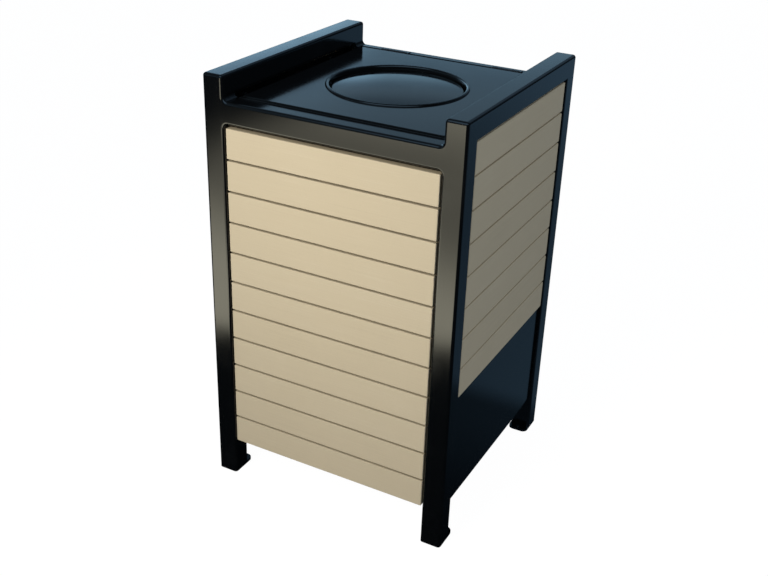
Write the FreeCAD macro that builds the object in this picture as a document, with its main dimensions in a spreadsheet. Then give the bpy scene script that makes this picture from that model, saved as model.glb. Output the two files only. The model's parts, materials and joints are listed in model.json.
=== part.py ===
import FreeCAD, Part
import os
import Sketcher

# Outdoor waste receptacle: a square tube frame on four legs with plank walls, a hinged lid and a
# swinging disc in the lid's round mouth. Millimetres, +Z up, the front faces -Y. The origin lies on
# the floor under the middle of the bin.

SIZES = {
    # Frame of square tube
    "frame_width": 616,
    "frame_depth": 610,
    "frame_height": 1016,
    "tube_side": 50.8,
    "tube_wall": 2.5,
    "tube_corner": 7,
    "cap_thick": 4,
    "cross_drop": 5,
    "weld_leg": 10,
    # Foot plates with a tab on the inner side of each leg
    "foot_thick": 6.4,
    "tab_reach": 21,
    "tab_corner": 14,
    "anchor_radius": 5.5,
    # Plank walls
    "leg_clear": 96.5,
    "front_rows": 11,
    "side_rows": 8,
    "plank_thick": 19,
    "plank_joint": 1,
    "plank_recess": 2.4,
    "plank_round": 2.2,
    "plank_end_gap": 2,
    "front_head_gap": 6,
    "side_head_gap": 1.2,
    "strap_width": 32,
    "strap_thick": 4,
    "strap_inset": 70,
    "sheet_thick": 2,
    "skirt_recess": 7.5,
    "skirt_head_gap": 4,
    "screw_radius": 2.4,
    "screw_head_radius": 4.5,
    "screw_head_height": 3,
    "screw_bite": 12,
    "screw_rise": 52,
    "screw_clear": 0.3,
    # Floor of the bin
    "floor_rail_side": 25.4,
    "floor_rail_wall": 2,
    "floor_rail_lift": 8,
    "pan_thick": 2,
    "pan_gap": 1,
    # Liner
    "liner_head_gap": 42.5,
    "liner_side_gap": 12.2,
    "liner_taper": 29,
    "liner_wall": 3,
    "liner_rim_reach": 8,
    "liner_rim_depth": 16,
    # Lid
    "lid_overlap": 10,
    "lid_side_gap": 14,
    "lid_rise": 5,
    "lid_sheet": 1.5,
    "lid_hem": 3,
    "lid_edge_round": 0.8,
    "mouth_radius": 152,
    "lip_bend": 5.5,
    "lip_depth": 15,
    # Lid hinges
    "hinge_offset": 150,
    "hinge_width": 70,
    "hinge_leaf": 1.5,
    "hinge_reach": 24,
    "knuckle_radius": 2.8,
    "pin_radius": 1.5,
    "hinge_gap": 0.3,
    # Swinging disc
    "disc_gap": 3,
    "disc_drop": 6.5,
    "disc_sheet": 1.5,
    "disc_bend": 4,
    "disc_skirt": 8,
    "axle_drop": 16,
    "axle_radius": 5,
    "run_clear": 0.05,
    "set_clear": 0.02,
    "bush_wall": 2,
    "bush_flange": 1.5,
    "bush_flange_reach": 2,
    "bracket_thick": 3,
    "bracket_width": 32,
    "bracket_foot": 26,
    "bracket_gap": 4,
    "clip_thick": 1.2,
    "clip_reach": 3.5,
    "axle_end": 3,
    "saddle_offset": 80,
    "saddle_width": 20,
    "saddle_depth": 24,
    "weight_length": 220,
    "weight_depth": 40,
    "weight_height": 16,
    "weight_drop": 20,
    "weight_round": 2,
}

doc = FreeCAD.newDocument("waste_bin")
sheet = doc.addObject("Spreadsheet::Sheet", "Size")
for row, (alias, value) in enumerate(SIZES.items(), 1):
    sheet.set(f"A{row}", str(value))
    sheet.setAlias(f"A{row}", alias)
doc.recompute()

# Places worked out from the driving sizes
HALF_WIDTH = "(Size.frame_width / 2)"
HALF_DEPTH = "(Size.frame_depth / 2)"
INNER_X = "(Size.frame_width / 2 - Size.tube_side)"
INNER_Y = "(Size.frame_depth / 2 - Size.tube_side)"
SIDE_RAIL_BASE = "(Size.frame_height - Size.tube_side)"
CROSS_TOP = f"({SIDE_RAIL_BASE} - Size.cross_drop)"
CROSS_BASE = f"({CROSS_TOP} - Size.tube_side)"
FRONT_TOP = f"({CROSS_BASE} - Size.front_head_gap)"
ROW_PITCH = f"(({FRONT_TOP} - Size.leg_clear + Size.plank_joint) / Size.front_rows)"
SIDE_TOP = f"({SIDE_RAIL_BASE} - Size.side_head_gap)"
SIDE_BASE = f"({SIDE_TOP} + Size.plank_joint - Size.side_rows * {ROW_PITCH})"
PLANK_BACK = "(Size.plank_recess + Size.plank_thick)"
STRAP_BACK = f"({PLANK_BACK} + Size.strap_thick)"
SHEET_BACK = f"({PLANK_BACK} + Size.sheet_thick)"
SKIRT_FACE = f"({HALF_WIDTH} - Size.skirt_recess)"
SKIRT_BACK = "(Size.skirt_recess + Size.sheet_thick)"
SKIRT_TOP = f"({SIDE_BASE} - Size.skirt_head_gap)"
STRAP_X = f"({INNER_X} - Size.strap_inset)"
SIDE_SCREW_Y = f"({INNER_Y} - Size.strap_inset)"
FLOOR_RAIL_BASE = "(Size.leg_clear + Size.floor_rail_lift)"
PAN_BASE = f"({FLOOR_RAIL_BASE} + Size.floor_rail_side)"
LINER_BASE = f"({PAN_BASE} + Size.pan_thick)"
LINER_HEIGHT = f"({CROSS_BASE} - Size.liner_head_gap - {LINER_BASE})"
LINER_RIM = f"(min({INNER_X}; {INNER_Y}) - Size.liner_side_gap)"
LID_TOP = f"({CROSS_TOP} + Size.lid_rise)"
LID_UNDER = f"({LID_TOP} - Size.lid_sheet)"
LID_HALF_X = f"({INNER_X} - Size.lid_side_gap)"
LID_HALF_Y = f"({INNER_Y} + Size.lid_overlap)"
KNUCKLE_Y = f"({LID_HALF_Y} + Size.knuckle_radius + Size.hinge_gap)"
KNUCKLE_Z = f"({CROSS_TOP} + Size.knuckle_radius + Size.hinge_gap)"
DISC_TOP = f"({LID_TOP} - Size.disc_drop)"
DISC_UNDER = f"({DISC_TOP} - Size.disc_sheet)"
DISC_RADIUS = "(Size.mouth_radius - Size.disc_gap)"
AXLE_Z = f"({DISC_TOP} - Size.axle_drop)"
BRACKET_X = "(Size.mouth_radius + Size.lid_sheet + Size.bracket_gap)"
CLIP_X = f"({BRACKET_X} + Size.bracket_thick + Size.bush_flange + Size.hinge_gap)"

AXES = {
    "x": FreeCAD.Vector(1, 0, 0),
    "y": FreeCAD.Vector(0, 1, 0),
    "z": FreeCAD.Vector(0, 0, 1),
}
SIDES = {"left": -1, "right": 1}
ENDS = {"front": -1, "rear": 1}
TOUCH = 1e-6

nodes = {}


def number(expression):
    """The value of a sheet expression as a plain number."""
    value = sheet.evalExpression(expression)
    return float(getattr(value, "Value", value))


def within(face, sign, thickness):
    """Lowest coordinate of a piece that lies behind an outer face on the low or the high side."""
    return f"{face} * {sign} - {thickness} / 2 * {sign + 1}"


def beyond(face, sign, thickness):
    """Lowest coordinate of a piece that lies outside a face on the low or the high side."""
    return f"{face} * {sign} + {thickness} / 2 * {sign - 1}"


def keep(node, item):
    """Name an object as one of the part's nodes."""
    item.Label = node
    nodes[node] = item
    return item


def place(item, x, y, z):
    """Bind an object's position to sheet expressions."""
    for axis, expression in zip("xyz", (x, y, z)):
        item.setExpression(f"Placement.Base.{axis}", expression)


def block(name, size, low):
    """A box with its size and its lowest corner given as expressions."""
    item = doc.addObject("Part::Box", name)
    for side, expression in zip(("Length", "Width", "Height"), size):
        item.setExpression(side, expression)
    place(item, *low)
    item.recompute()
    return item


def rod(name, axis, radius, length, start):
    """A round bar that runs from start along an axis."""
    item = doc.addObject("Part::Cylinder", name)
    item.setExpression("Radius", radius)
    item.setExpression("Height", length)
    item.Placement.Rotation = FreeCAD.Rotation(AXES["z"], AXES[axis])
    place(item, *start)
    item.recompute()
    return item


def cut(name, base, *tools):
    """The base with each tool taken out of it."""
    for tool in tools:
        result = doc.addObject("Part::Cut", name)
        result.Base = base
        result.Tool = tool
        result.recompute()
        base = result
    return base


def common(name, first, second):
    """What two solids share."""
    result = doc.addObject("Part::Common", name)
    result.Base = first
    result.Tool = second
    result.recompute()
    return result


def fuse(name, *items):
    """Several solids joined into one."""
    result = doc.addObject("Part::MultiFuse", name)
    result.Shapes = list(items)
    result.Refine = True
    result.recompute()
    return result


def group(node, items):
    """A node that holds several separate solids."""
    result = doc.addObject("Part::Compound", node)
    result.Links = list(items)
    return keep(node, result)


def straight_edges(shape, axis):
    """Numbered straight edges of a shape that run along an axis."""
    found = []
    for index, edge in enumerate(shape.Edges, 1):
        if edge.Curve.TypeId != "Part::GeomLine":
            continue
        if abs(edge.tangentAt(edge.FirstParameter).dot(AXES[axis])) > 1 - TOUCH:
            found.append((index, edge))
    return found


def round_off(name, base, edges, radius):
    """Round the numbered edges of a solid to one radius."""
    result = doc.addObject("Part::Fillet", name)
    result.Base = base
    result.Edges = [(index, number(radius), number(radius)) for index, edge in edges]
    result.recompute()
    return result


def bar(name, axis, size, low):
    """A solid bar of tube outline, with its four long edges rounded."""
    raw = block(f"{name}_raw", size, low)
    return round_off(name, raw, straight_edges(raw.Shape, axis), "Size.tube_corner")


def new_body(name, x="0", y="0", z="0"):
    """An empty body at a bound position."""
    body = doc.addObject("PartDesign::Body", name)
    place(body, x, y, z)
    return body


def new_sketch(body, plane, lift="0"):
    """A sketch on one of a body's own planes, lifted along the plane's normal."""
    sketch = body.newObject("Sketcher::SketchObject", f"{body.Name}_sketch")
    support = next(item for item in body.Origin.OriginFeatures if item.Role == plane)
    sketch.AttachmentSupport = [(support, "")]
    sketch.MapMode = "FlatFace"
    sketch.setExpression("AttachmentOffset.Base.z", lift)
    return sketch


def pin_point(sketch, element, point, x, y):
    """Tie a point of a sketch to expressions for its two coordinates."""
    for kind, across, expression in (("DistanceX", -2, x), ("DistanceY", -1, y)):
        if expression == "0":
            sketch.addConstraint(Sketcher.Constraint("PointOnObject", element, point, across))
            continue
        rule = Sketcher.Constraint(kind, -1, 1, element, point, number(expression))
        sketch.setExpression(f"Constraints[{sketch.addConstraint(rule)}]", expression)


def outline(sketch, points):
    """A closed outline of straight lines through points given as expressions."""
    corners = [FreeCAD.Vector(number(x), number(y), 0) for x, y in points]
    first = sketch.GeometryCount
    count = len(points)
    for index in range(count):
        sketch.addGeometry(Part.LineSegment(corners[index], corners[(index + 1) % count]), False)
    for index in range(count):
        following = first + (index + 1) % count
        sketch.addConstraint(Sketcher.Constraint("Coincident", first + index, 2, following, 1))
    for index, (x, y) in enumerate(points):
        pin_point(sketch, first + index, 1, x, y)


def rectangle(sketch, low_x, low_y, high_x, high_y):
    """A rectangle between two corners given as expressions."""
    outline(sketch, [(low_x, low_y), (high_x, low_y), (high_x, high_y), (low_x, high_y)])


def circle(sketch, x, y, radius):
    """A circle with its centre and radius given as expressions."""
    centre = FreeCAD.Vector(number(x), number(y), 0)
    element = sketch.addGeometry(Part.Circle(centre, AXES["z"], number(radius)), False)
    pin_point(sketch, element, 3, x, y)
    rule = sketch.addConstraint(Sketcher.Constraint("Radius", element, number(radius)))
    sketch.setExpression(f"Constraints[{rule}]", radius)


def pad(body, sketch, length):
    """Raise a sketch along its normal."""
    feature = body.newObject("PartDesign::Pad", f"{body.Name}_pad")
    feature.Profile = sketch
    feature.setExpression("Length", length)
    doc.recompute()
    return feature


def pocket(body, sketch, depth):
    """Sink a sketch into the body along the sketch's normal, and make sure that it cuts."""
    before = body.Shape.Volume
    feature = body.newObject("PartDesign::Pocket", f"{body.Name}_pocket")
    feature.Profile = sketch
    feature.Reversed = True
    feature.setExpression("Length", depth)
    doc.recompute()
    if body.Shape.Volume > before - TOUCH:
        raise RuntimeError(f"{body.Name}: a pocket cuts nothing")
    return feature


def revolve(body, points):
    """Turn an outline, given as radius and height, about the body's upright axis."""
    sketch = new_sketch(body, "XZ_Plane")
    outline(sketch, points)
    feature = body.newObject("PartDesign::Revolution", f"{body.Name}_turned")
    feature.Profile = sketch
    feature.ReferenceAxis = (sketch, ["V_Axis"])
    feature.Angle = 360
    doc.recompute()
    return feature


def soften(body, feature, names, radius):
    """Round named edges of a body's latest feature."""
    rounding = body.newObject("PartDesign::Fillet", f"{body.Name}_round")
    rounding.Base = (feature, names)
    rounding.setExpression("Radius", radius)
    doc.recompute()
    return rounding


def ring_names(feature, radius, height):
    """Names of a feature's circular edges of one radius at one height."""
    names = []
    for index, edge in enumerate(feature.Shape.Edges, 1):
        if edge.Curve.TypeId != "Part::GeomCircle":
            continue
        same_radius = abs(edge.Curve.Radius - number(radius)) < TOUCH
        if same_radius and abs(edge.Curve.Center.z - number(height)) < TOUCH:
            names.append(f"Edge{index}")
    return names


def copies(master, places):
    """Equal solids: one body's shape repeated at several placements."""
    solids = []
    for spot in places:
        solid = master.Shape.copy()
        solid.Placement = spot
        solids.append(solid)
    return solids


def post_outline(name, side, end):
    """Outer form of one post: a rounded upright whose crown is rounded where no rail meets it."""
    low_y = within(HALF_DEPTH, end, "Size.tube_side")
    low = (within(HALF_WIDTH, side, "Size.tube_side"), low_y, "Size.foot_thick")
    size = ("Size.tube_side", "Size.tube_side", "Size.frame_height - Size.foot_thick")
    upright = bar(f"{name}_upright", "z", size, low)
    crown = block(f"{name}_crown_raw", size, low)
    outer_y = end * number(HALF_DEPTH)
    rounded = []
    for axis in "xy":
        for index, edge in straight_edges(crown.Shape, axis):
            middle = edge.CenterOfMass
            at_top = abs(middle.z - number("Size.frame_height")) < TOUCH
            if at_top and (axis == "y" or abs(middle.y - outer_y) < TOUCH):
                rounded.append((index, edge))
    crown = round_off(f"{name}_crown", crown, rounded, "Size.tube_corner")
    return common(f"{name}_form", upright, crown)


def build_posts():
    """Four hollow posts and the caps that close their tops; returns the posts' outer forms."""
    forms = {}
    caps = []
    for end_name, end in ENDS.items():
        for side_name, side in SIDES.items():
            name = f"post_{end_name}_{side_name}"
            form = post_outline(name, side, end)
            forms[end_name, side_name] = form
            low_x = within(HALF_WIDTH, side, "Size.tube_side")
            low_y = within(HALF_DEPTH, end, "Size.tube_side")
            cap_low = "Size.frame_height - Size.cap_thick"
            slab_size = ("Size.tube_side", "Size.tube_side", "Size.cap_thick")
            slab = block(f"{name}_slab", slab_size, (low_x, low_y, cap_low))
            caps.append(common(f"{name}_cap", form, slab))
            hollow_size = ("Size.tube_side - 2 * Size.tube_wall",) * 2 + ("Size.frame_height",)
            hollow_low = (f"{low_x} + Size.tube_wall", f"{low_y} + Size.tube_wall", "0")
            hollow = block(f"{name}_hollow", hollow_size, hollow_low)
            keep(name, cut(f"{name}_tube", form, slab, hollow))
    group("post_caps", caps)
    return forms


def bore_block(name, axis, size, low, wall):
    """The space inside a square tube of one wall that runs along an axis."""
    inner_size = [side if a == axis else f"{side} - 2 * {wall}" for a, side in zip("xyz", size)]
    inner_low = [corner if a == axis else f"{corner} + {wall}" for a, corner in zip("xyz", low)]
    return block(name, inner_size, inner_low)


def build_rail(node, axis, low, reach, forms):
    """A hollow rail between two posts, its ends shaped to the posts' rounded corners."""
    along = f"2 * {reach} + 2 * Size.tube_corner"
    size = [along if a == axis else "Size.tube_side" for a in "xyz"]
    rail = bar(f"{node}_bar", axis, size, low)
    hollow = bore_block(f"{node}_hollow", axis, size, low, "Size.tube_wall")
    return keep(node, cut(f"{node}_tube", rail, hollow, *forms))


def build_rails(forms):
    """Side rails flush with the post tops, and cross rails one tube lower."""
    for side_name, side in SIDES.items():
        low_x = within(HALF_WIDTH, side, "Size.tube_side")
        low = (low_x, f"-{INNER_Y} - Size.tube_corner", SIDE_RAIL_BASE)
        ends = [forms["front", side_name], forms["rear", side_name]]
        build_rail(f"side_rail_{side_name}", "y", low, INNER_Y, ends)
    for end_name, end in ENDS.items():
        low_y = within(HALF_DEPTH, end, "Size.tube_side")
        low = (f"-{INNER_X} - Size.tube_corner", low_y, CROSS_BASE)
        ends = [forms[end_name, "left"], forms[end_name, "right"]]
        build_rail(f"cross_rail_{end_name}", "x", low, INNER_X, ends)


def weld(name, side, y, level, upward):
    """One concave weld in the corner between a post's inner face and a cross rail.

    side is the post's side; upward is 1 for a weld on top of the rail and -1 for one below it.
    """
    leg = "Size.weld_leg"
    bead = "(Size.tube_side - 2 * Size.tube_corner)"
    low_y = f"{y} - {bead} / 2"
    low = (within(INNER_X, side, leg), low_y, f"{level} + {leg} / 2 * {upward - 1}")
    blank = block(f"{name}_blank", (leg, bead, leg), low)
    start = (f"({INNER_X} - {leg}) * {side}", low_y, f"{level} + {leg} * {upward}")
    return cut(name, blank, rod(f"{name}_hollow", "y", leg, bead, start))


def build_welds():
    """Welds above and below each cross rail where it meets the posts."""
    welds = []
    for end_name, end in ENDS.items():
        y = f"({HALF_DEPTH} - Size.tube_side / 2) * {end}"
        for side_name, side in SIDES.items():
            for level, upward in ((CROSS_TOP, 1), (CROSS_BASE, -1)):
                welds.append(weld(f"weld_{end_name}_{side_name}", side, y, level, upward))
    group("weld_fillets", welds)


def build_foot_plates():
    """A plate under each leg, with a rounded tab and an anchor hole towards the bin's middle."""
    plates = []
    depth = "(Size.tube_side + Size.tab_reach)"
    for end_name, end in ENDS.items():
        for side_name, side in SIDES.items():
            x = f"({HALF_WIDTH} - Size.tube_side / 2) * {side}"
            name = f"foot_{end_name}_{side_name}"
            low = (f"{x} - Size.tube_side / 2", within(HALF_DEPTH, end, depth), "0")
            plate = block(name, ("Size.tube_side", depth, "Size.foot_thick"), low)
            faces = (("leg", HALF_DEPTH, "Size.tube_corner"),
                     ("tab", f"{HALF_DEPTH} - {depth}", "Size.tab_corner"))
            for face_name, face, radius in faces:
                face_y = end * number(face)
                corners = [pair for pair in straight_edges(plate.Shape, "z")
                           if abs(pair[1].CenterOfMass.y - face_y) < TOUCH]
                plate = round_off(f"{name}_{face_name}", plate, corners, radius)
            hole_y = f"({HALF_DEPTH} - Size.tube_side - Size.tab_reach / 2) * {end}"
            hole = rod(f"{name}_hole", "z", "Size.anchor_radius", "Size.foot_thick", (x, hole_y, "0"))
            plates.append(cut(f"{name}_plate", plate, hole))
    group("foot_plates", plates)


def hollow_bar(name, axis, size, low, wall):
    """A thin-walled square bar, open at both ends."""
    outer = block(f"{name}_outer", size, low)
    return cut(name, outer, bore_block(f"{name}_inner", axis, size, low, wall))


def build_floor():
    """Rails between the legs behind the walls, and the pan that lies on them."""
    side = "Size.floor_rail_side"
    wall = "Size.floor_rail_wall"
    rails = []
    for end_name, end in ENDS.items():
        low_y = within(f"({HALF_DEPTH} - {STRAP_BACK})", end, side)
        low = (f"-{INNER_X}", low_y, FLOOR_RAIL_BASE)
        size = (f"2 * {INNER_X}", side, side)
        rails.append(hollow_bar(f"floor_rail_{end_name}", "x", size, low, wall))
    for side_name, sign in SIDES.items():
        low_x = within(f"({HALF_WIDTH} - {SKIRT_BACK})", sign, side)
        low = (low_x, f"-{INNER_Y}", FLOOR_RAIL_BASE)
        size = (side, f"2 * {INNER_Y}", side)
        rails.append(hollow_bar(f"floor_rail_{side_name}", "y", size, low, wall))
    group("floor_rails", rails)
    wide_x = f"({HALF_WIDTH} - {SKIRT_BACK} - Size.pan_gap)"
    wide_y = f"({HALF_DEPTH} - {STRAP_BACK} - Size.pan_gap)"
    notch_x = f"({INNER_X} - Size.pan_gap)"
    notch_y = f"({INNER_Y} - Size.pan_gap)"
    quarter = [(notch_x, wide_y), (notch_x, notch_y), (wide_x, notch_y)]
    points = list(quarter)
    points += [(x, f"-{y}") for x, y in reversed(quarter)]
    points += [(f"-{x}", f"-{y}") for x, y in quarter]
    points += [(f"-{x}", y) for x, y in reversed(quarter)]
    pan = new_body("floor_pan", z=PAN_BASE)
    sketch = new_sketch(pan, "XY_Plane")
    outline(sketch, points)
    pad(pan, sketch, "Size.pan_thick")
    keep("floor_pan", pan)


def build_liner():
    """A round tapered can with a turned-down rim that lifts out between the top rails."""
    wall = "Size.liner_wall"
    height = LINER_HEIGHT
    rim = LINER_RIM
    mouth = f"({rim} - Size.liner_rim_reach)"
    base = f"({mouth} - Size.liner_taper)"
    rim_low = f"({height} - Size.liner_rim_depth)"
    shoulder = f"({mouth} - Size.liner_taper * {wall} / {height})"
    points = [
        ("0", "0"),
        (base, "0"),
        (shoulder, f"{height} - {wall}"),
        (f"{rim} - {wall}", f"{height} - {wall}"),
        (f"{rim} - {wall}", rim_low),
        (rim, rim_low),
        (rim, height),
        (f"{mouth} - {wall}", height),
        (f"{base} - {wall}", wall),
        ("0", wall),
    ]
    liner = new_body("liner", z=LINER_BASE)
    revolve(liner, points)
    keep("liner", liner)


def screw_heights(rows, first):
    """Heights of the screws in a wall of planks whose lowest plank starts at first."""
    count = round(number(rows))
    return [f"({first} + {row} * {ROW_PITCH} + Size.screw_rise)" for row in range(count)]


def plank(name, axis, length, low):
    """One plank with all its edges eased."""
    height = f"{ROW_PITCH} - Size.plank_joint"
    size = (length, "Size.plank_thick", height) if axis == "x" else ("Size.plank_thick", length, height)
    raw = block(f"{name}_raw", size, low)
    edges = list(enumerate(raw.Shape.Edges, 1))
    return round_off(name, raw, edges, "Size.plank_round")


def build_end_walls():
    """Front and rear walls: planks on two upright straps."""
    rows = round(number("Size.front_rows"))
    length = f"2 * {INNER_X} - 2 * Size.plank_end_gap"
    for end_name, end in ENDS.items():
        face = f"({HALF_DEPTH} - Size.plank_recess)"
        low_y = within(face, end, "Size.plank_thick")
        planks = []
        for row in range(rows):
            name = f"{end_name}_plank_{row + 1:02d}"
            low_z = f"Size.leg_clear + {row} * {ROW_PITCH}"
            low = (f"-{INNER_X} + Size.plank_end_gap", low_y, low_z)
            planks.append((name, plank(f"{name}_board", "x", length, low)))
        if end_name == "front":
            for name, item in planks:
                keep(name, item)
        else:
            group("rear_planks", [item for name, item in planks])
        straps = []
        for side_name, side in SIDES.items():
            name = f"strap_{end_name}_{side_name}"
            face_y = f"({HALF_DEPTH} - {PLANK_BACK}) * {end}"
            strap = new_body(name, x=f"{STRAP_X} * {side}", y=face_y)
            sketch = new_sketch(strap, "XZ_Plane")
            half = "Size.strap_width / 2"
            rectangle(sketch, f"-{half}", "Size.leg_clear", half, CROSS_BASE)
            for height in screw_heights("Size.front_rows", "Size.leg_clear"):
                circle(sketch, "0", height, "Size.screw_radius + Size.screw_clear")
            raised = pad(strap, sketch, "Size.strap_thick")
            raised.Reversed = end < 0
            doc.recompute()
            straps.append(strap)
        group(f"{end_name}_straps", straps)


def build_side_walls():
    """Left and right walls: a sheet that steps out to a skirt below the planks it carries."""
    rows = round(number("Size.side_rows"))
    length = f"2 * {INNER_Y} - 2 * Size.plank_end_gap"
    for side_name, side in SIDES.items():
        low_x = within(f"({HALF_WIDTH} - Size.plank_recess)", side, "Size.plank_thick")
        low_y = f"-{INNER_Y} + Size.plank_end_gap"
        for row in range(rows):
            name = f"{side_name}_plank_{row + 1:02d}"
            low_z = f"{SIDE_BASE} + {row} * {ROW_PITCH}"
            keep(name, plank(f"{name}_board", "y", length, (low_x, low_y, low_z)))
        face_x = f"({HALF_WIDTH} - {PLANK_BACK}) * {side}"
        shelf_base = f"({SKIRT_TOP} - Size.sheet_thick)"
        panel = new_body(f"side_backing_{side_name}", x=face_x)
        sketch = new_sketch(panel, "YZ_Plane")
        rectangle(sketch, f"-{INNER_Y}", shelf_base, INNER_Y, SIDE_RAIL_BASE)
        for height in screw_heights("Size.side_rows", SIDE_BASE):
            for end in ENDS.values():
                circle(sketch, f"{SIDE_SCREW_Y} * {end}", height, "Size.screw_radius + Size.screw_clear")
        raised = pad(panel, sketch, "Size.sheet_thick")
        raised.Reversed = side > 0
        doc.recompute()
        reach = f"({SHEET_BACK} - Size.skirt_recess)"
        front_y = f"-{INNER_Y}"
        shelf = block(f"side_shelf_{side_name}", (reach, f"2 * {INNER_Y}", "Size.sheet_thick"),
                      (within(SKIRT_FACE, side, reach), front_y, shelf_base))
        skirt = block(f"side_skirt_{side_name}",
                      ("Size.sheet_thick", f"2 * {INNER_Y}", f"{SKIRT_TOP} - Size.leg_clear"),
                      (within(SKIRT_FACE, side, "Size.sheet_thick"), front_y, "Size.leg_clear"))
        keep(f"side_sheet_{side_name}", fuse(f"side_sheet_{side_name}", panel, shelf, skirt))


def build_screws():
    """Screws driven from inside through the straps and side sheets into the planks."""
    strap_screw = new_body("strap_screw")
    sheet_screw = new_body("sheet_screw")
    for body, through in ((strap_screw, "Size.strap_thick"), (sheet_screw, "Size.sheet_thick")):
        tip = f"({through} + Size.screw_bite)"
        points = [
            ("0", "-Size.screw_head_height"),
            ("Size.screw_head_radius", "-Size.screw_head_height"),
            ("Size.screw_head_radius", "0"),
            ("Size.screw_radius", "0"),
            ("Size.screw_radius", tip),
            ("0", tip),
        ]
        revolve(body, points)
    end_places = []
    for end in ENDS.values():
        turn = FreeCAD.Rotation(AXES["z"], AXES["y"] * end)
        y = end * (number(HALF_DEPTH) - number(STRAP_BACK))
        for height in screw_heights("Size.front_rows", "Size.leg_clear"):
            for side in SIDES.values():
                spot = FreeCAD.Vector(side * number(STRAP_X), y, number(height))
                end_places.append(FreeCAD.Placement(spot, turn))
    side_places = []
    for side in SIDES.values():
        turn = FreeCAD.Rotation(AXES["z"], AXES["x"] * side)
        x = side * (number(HALF_WIDTH) - number(SHEET_BACK))
        for height in screw_heights("Size.side_rows", SIDE_BASE):
            for end in ENDS.values():
                y = end * number(SIDE_SCREW_Y)
                side_places.append(FreeCAD.Placement(FreeCAD.Vector(x, y, number(height)), turn))
    screws = doc.addObject("Part::Feature", "screws")
    solids = copies(strap_screw, end_places) + copies(sheet_screw, side_places)
    screws.Shape = Part.makeCompound(solids)
    keep("plank_screws", screws)


def build_lid():
    """The lid: a hemmed sheet with a rolled lip round its mouth and notches for the hinges."""
    lid = new_body("lid_panel")
    sketch = new_sketch(lid, "XY_Plane", CROSS_TOP)
    rectangle(sketch, f"-{LID_HALF_X}", f"-{LID_HALF_Y}", LID_HALF_X, LID_HALF_Y)
    plate = pad(lid, sketch, "Size.lid_rise")
    top_edges = []
    for axis in "xy":
        for index, edge in straight_edges(plate.Shape, axis):
            if abs(edge.CenterOfMass.z - number(LID_TOP)) < TOUCH:
                top_edges.append(f"Edge{index}")
    soften(lid, plate, top_edges, "Size.lid_edge_round")
    under = new_sketch(lid, "XY_Plane", CROSS_TOP)
    inset_x = f"({LID_HALF_X} - Size.lid_hem)"
    inset_y = f"({LID_HALF_Y} - Size.lid_hem)"
    rectangle(under, f"-{inset_x}", f"-{inset_y}", inset_x, inset_y)
    pocket(lid, under, "Size.lid_rise - Size.lid_sheet")
    notch = new_sketch(lid, "XY_Plane", CROSS_TOP)
    notch_half = "(Size.hinge_width / 2 + Size.hinge_gap)"
    for side in SIDES.values():
        centre = f"Size.hinge_offset * {side}"
        rectangle(notch, f"{centre} - {notch_half}", inset_y, f"{centre} + {notch_half}", LID_HALF_Y)
    pocket(lid, notch, "Size.lid_rise - Size.lid_sheet")
    mouth = new_sketch(lid, "XY_Plane", CROSS_TOP)
    circle(mouth, "0", "0", "Size.mouth_radius")
    pocket(lid, mouth, "Size.lid_rise")
    outer = "(Size.mouth_radius + Size.lid_sheet)"
    low = f"({LID_TOP} - Size.lip_depth)"
    high = f"({LID_TOP} - Size.lid_sheet / 2)"
    mouth_edge = "Size.mouth_radius"
    lip = revolve(lid, [(mouth_edge, low), (outer, low), (outer, high), (mouth_edge, high)])
    lip = soften(lid, lip, ring_names(lip, "Size.mouth_radius", LID_TOP), "Size.lip_bend")
    soften(lid, lip, ring_names(lip, outer, LID_UNDER), "Size.lip_bend - Size.lid_sheet")
    keep("lid_panel", lid)


def hinge_leaf(name, x, reach, plate_low_z, tongues):
    """One hinge leaf: a plate, and tongues that carry its knuckles round the pin.

    reach is -1 for a leaf towards the front, 1 for one towards the rear. tongues are pairs of a
    start and a length along the pin, measured from the hinge's middle.
    """
    gap = "(Size.knuckle_radius + Size.hinge_gap)"
    depth = f"(Size.hinge_reach - {gap})"
    low_y = f"{KNUCKLE_Y} + {gap} * {reach} + {depth} / 2 * {reach - 1}"
    plate_size = ("Size.hinge_width", depth, "Size.hinge_leaf")
    pieces = [block(f"{name}_plate", plate_size, (f"{x} - Size.hinge_width / 2", low_y, plate_low_z))]
    for index, (start, length) in enumerate(tongues):
        tongue_low = (f"{x} + {start}", f"{KNUCKLE_Y} + {gap} / 2 * {reach - 1}", plate_low_z)
        pieces.append(block(f"{name}_tongue{index}", (length, gap, "Size.hinge_leaf"), tongue_low))
        centre = (f"{x} + {start}", KNUCKLE_Y, KNUCKLE_Z)
        pieces.append(rod(f"{name}_knuckle{index}", "x", "Size.knuckle_radius", length, centre))
    whole = fuse(f"{name}_whole", *pieces)
    bore_start = (f"{x} - Size.hinge_width / 2", KNUCKLE_Y, KNUCKLE_Z)
    bore = rod(f"{name}_bore", "x", "Size.pin_radius + Size.run_clear", "Size.hinge_width", bore_start)
    return cut(name, whole, bore)


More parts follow.
